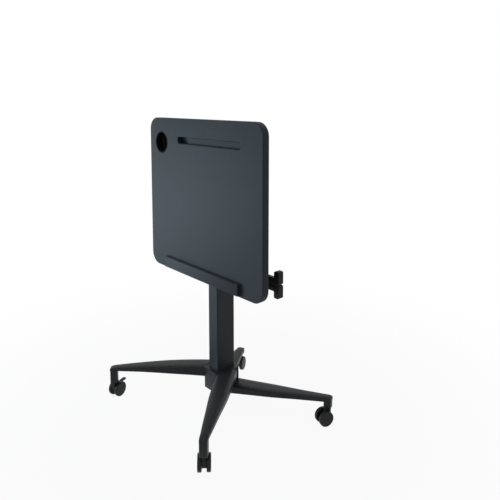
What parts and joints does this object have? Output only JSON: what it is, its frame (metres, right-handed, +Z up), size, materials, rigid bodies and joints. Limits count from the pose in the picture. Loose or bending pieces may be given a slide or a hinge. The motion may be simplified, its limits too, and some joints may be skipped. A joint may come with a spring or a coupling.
{
  "type": "flip top training table",
  "caption": "Mobile training table with a height-adjustable centre column, a top that tilts upright for nesting, cup holder, tray groove and release paddles.",
  "frame": {"origin": "on the floor, in the middle of the footprint's bounding box", "axes": "+Z up, -Y towards the user, +X to the user's right; rest pose has the top upright"},
  "size_m": [0.6652, 0.506, 0.986],
  "materials": {
    "table_top": "black laminate on board, satin, eased edges",
    "stop_plastic": "black, satin",
    "cast_paint": "cast, black powder coat",
    "steel_paint": "black powder coat",
    "black_plastic": "moulded, fine texture",
    "wheel_plastic": "moulded nylon",
    "cable_sheath": "smooth sheath",
    "steel_parts": "machined, zinc plated"
  },
  "bodies": {
    "base": {"hub": "cast_paint", "hub_cover": "black_plastic", "leg_front_left": "cast_paint", "leg_front_right": "cast_paint", "leg_rear_right": "cast_paint", "leg_rear_left": "cast_paint", "hub_bolts": "steel_parts", "stem_sockets": "black_plastic", "outer_column": "steel_paint", "column_guide": "black_plastic", "gas_cylinder": "steel_paint"},
    "carriage": {"inner_column": "steel_paint", "lower_glide": "black_plastic", "column_head": "cast_paint", "gas_rod": "steel_parts", "tilt_shaft": "steel_parts", "shaft_collars": "steel_parts", "lock_disc": "steel_parts", "valve_cable": "cable_sheath"},
    "top": {"tabletop": "table_top", "cup_holder": "black_plastic", "edge_stop": "stop_plastic", "mounting_plate": "steel_paint", "tilt_bracket_left": "steel_paint", "tilt_bracket_right": "steel_paint", "bracket_bushes": "black_plastic", "plunger_housing": "steel_parts", "stop_pin": "steel_parts", "paddle_bracket": "steel_paint", "paddle_pin": "steel_parts", "paddle_springs": "steel_parts", "height_cable": "cable_sheath", "tilt_cable": "cable_sheath", "cable_clips": "black_plastic", "top_screws": "steel_parts"},
    "valve_lever": {"valve_lever": "steel_parts"},
    "valve_pin": {"valve_pin": "steel_parts"},
    "lock_plunger": {"lock_plunger": "steel_parts"},
    "height_paddle": {"height_paddle": "black_plastic"},
    "tilt_paddle": {"tilt_paddle": "black_plastic"},
    "caster_fl": {"caster_body_fl": "black_plastic", "caster_pins_fl": "steel_parts"},
    "wheel_fl_left": {"wheel_fl_left": "wheel_plastic"},
    "wheel_fl_right": {"wheel_fl_right": "wheel_plastic"},
    "brake_pedal_fl": {"brake_pedal_fl": "black_plastic"},
    "caster_fr": {"caster_body_fr": "black_plastic", "caster_pins_fr": "steel_parts"},
    "wheel_fr_left": {"wheel_fr_left": "wheel_plastic"},
    "wheel_fr_right": {"wheel_fr_right": "wheel_plastic"},
    "brake_pedal_fr": {"brake_pedal_fr": "black_plastic"},
    "caster_rr": {"caster_body_rr": "black_plastic", "caster_pins_rr": "steel_parts"},
    "wheel_rr_left": {"wheel_rr_left": "wheel_plastic"},
    "wheel_rr_right": {"wheel_rr_right": "wheel_plastic"},
    "caster_rl": {"caster_body_rl": "black_plastic", "caster_pins_rl": "steel_parts"},
    "wheel_rl_left": {"wheel_rl_left": "wheel_plastic"},
    "wheel_rl_right": {"wheel_rl_right": "wheel_plastic"}
  },
  "joints": [
    {"name": "column_height", "type": "slide", "parent": "base", "child": "carriage", "axis": [0, 0, 1], "range_m": [-0.09, 0.29]},
    {"name": "top_tilt", "type": "hinge", "parent": "carriage", "child": "top", "pos_m": [-0.0326, 0.04484, 0.74], "axis": [-1, 0, 0], "range_deg": [0, 90]},
    {"name": "height_paddle_press", "type": "hinge", "parent": "top", "child": "height_paddle", "pos_m": [0.1494, 0.02834, 0.494], "axis": [0, 0, -1], "range_deg": [0, 12], "stiffness_Nm_per_rad": 1.2, "springref_deg": -6.88},
    {"name": "tilt_paddle_press", "type": "hinge", "parent": "top", "child": "tilt_paddle", "pos_m": [0.1494, 0.02834, 0.494], "axis": [0, 0, -1], "range_deg": [0, 12], "stiffness_Nm_per_rad": 1.2, "springref_deg": -6.88},
    {"name": "lock_plunger_slide", "type": "slide", "parent": "top", "child": "lock_plunger", "axis": [1, 0, 0], "range_m": [0, 0.003]},
    {"name": "valve_lever_turn", "type": "hinge", "parent": "carriage", "child": "valve_lever", "pos_m": [-0.0326, 0.06484, 0.7059], "axis": [1, 0, 0], "range_deg": [0, 8]},
    {"name": "valve_pin_slide", "type": "slide", "parent": "carriage", "child": "valve_pin", "axis": [0, 0, -1], "range_m": [0, 0.0028]},
    {"name": "swivel_fl", "type": "hinge", "parent": "base", "child": "caster_fl", "pos_m": [-0.2946, -0.23216, 0.0556], "axis": [0, 0, 1], "continuous": true},
    {"name": "roll_fl_left", "type": "hinge", "parent": "caster_fl", "child": "wheel_fl_left", "pos_m": [-0.29939, -0.21901, 0.025], "axis": [-0.9397, -0.342, 0], "continuous": true},
    {"name": "roll_fl_right", "type": "hinge", "parent": "caster_fl", "child": "wheel_fl_right", "pos_m": [-0.29939, -0.21901, 0.025], "axis": [-0.9397, -0.342, 0], "continuous": true},
    {"name": "brake_fl", "type": "hinge", "parent": "caster_fl", "child": "brake_pedal_fl", "pos_m": [-0.30315, -0.20867, 0.04], "axis": [-0.9397, -0.342, 0], "range_deg": [0, 14]},
    {"name": "swivel_fr", "type": "hinge", "parent": "base", "child": "caster_fr", "pos_m": [0.2294, -0.23216, 0.0556], "axis": [0, 0, 1], "continuous": true},
    {"name": "roll_fr_left", "type": "hinge", "parent": "caster_fr", "child": "wheel_fr_left", "pos_m": [0.21852, -0.22335, 0.025], "axis": [-0.6293, -0.7771, 0], "continuous": true},
    {"name": "roll_fr_right", "type": "hinge", "parent": "caster_fr", "child": "wheel_fr_right", "pos_m": [0.21852, -0.22335, 0.025], "axis": [-0.6293, -0.7771, 0], "continuous": true},
    {"name": "brake_fr", "type": "hinge", "parent": "caster_fr", "child": "brake_pedal_fr", "pos_m": [0.20997, -0.21643, 0.04], "axis": [-0.6293, -0.7771, 0], "range_deg": [0, 14]},
    {"name": "swivel_rr", "type": "hinge", "parent": "base", "child": "caster_rr", "pos_m": [0.3114, 0.20984, 0.0556], "axis": [0, 0, 1], "continuous": true},
    {"name": "roll_rr_left", "type": "hinge", "parent": "caster_rr", "child": "wheel_rr_left", "pos_m": [0.30684, 0.1966, 0.025], "axis": [0.9455, -0.3256, 0], "continuous": true},
    {"name": "roll_rr_right", "type": "hinge", "parent": "caster_rr", "child": "wheel_rr_right", "pos_m": [0.30684, 0.1966, 0.025], "axis": [0.9455, -0.3256, 0], "continuous": true},
    {"name": "swivel_rl", "type": "hinge", "parent": "base", "child": "caster_rl", "pos_m": [-0.1506, 0.23484, 0.0556], "axis": [0, 0, 1], "continuous": true},
    {"name": "roll_rl_left", "type": "hinge", "parent": "caster_rl", "child": "wheel_rl_left", "pos_m": [-0.1436, 0.22271, 0.025], "axis": [0.866, 0.5, 0], "continuous": true},
    {"name": "roll_rl_right", "type": "hinge", "parent": "caster_rl", "child": "wheel_rl_right", "pos_m": [-0.1436, 0.22271, 0.025], "axis": [0.866, 0.5, 0], "continuous": true}
  ],
  "couplings": [
    {"joint": "lock_plunger_slide", "follows": "tilt_paddle_press", "m_per_rad": 0.01431},
    {"joint": "valve_lever_turn", "follows": "height_paddle_press", "ratio": 0.666},
    {"joint": "valve_pin_slide", "follows": "height_paddle_press", "m_per_rad": 0.013356}
  ]
}
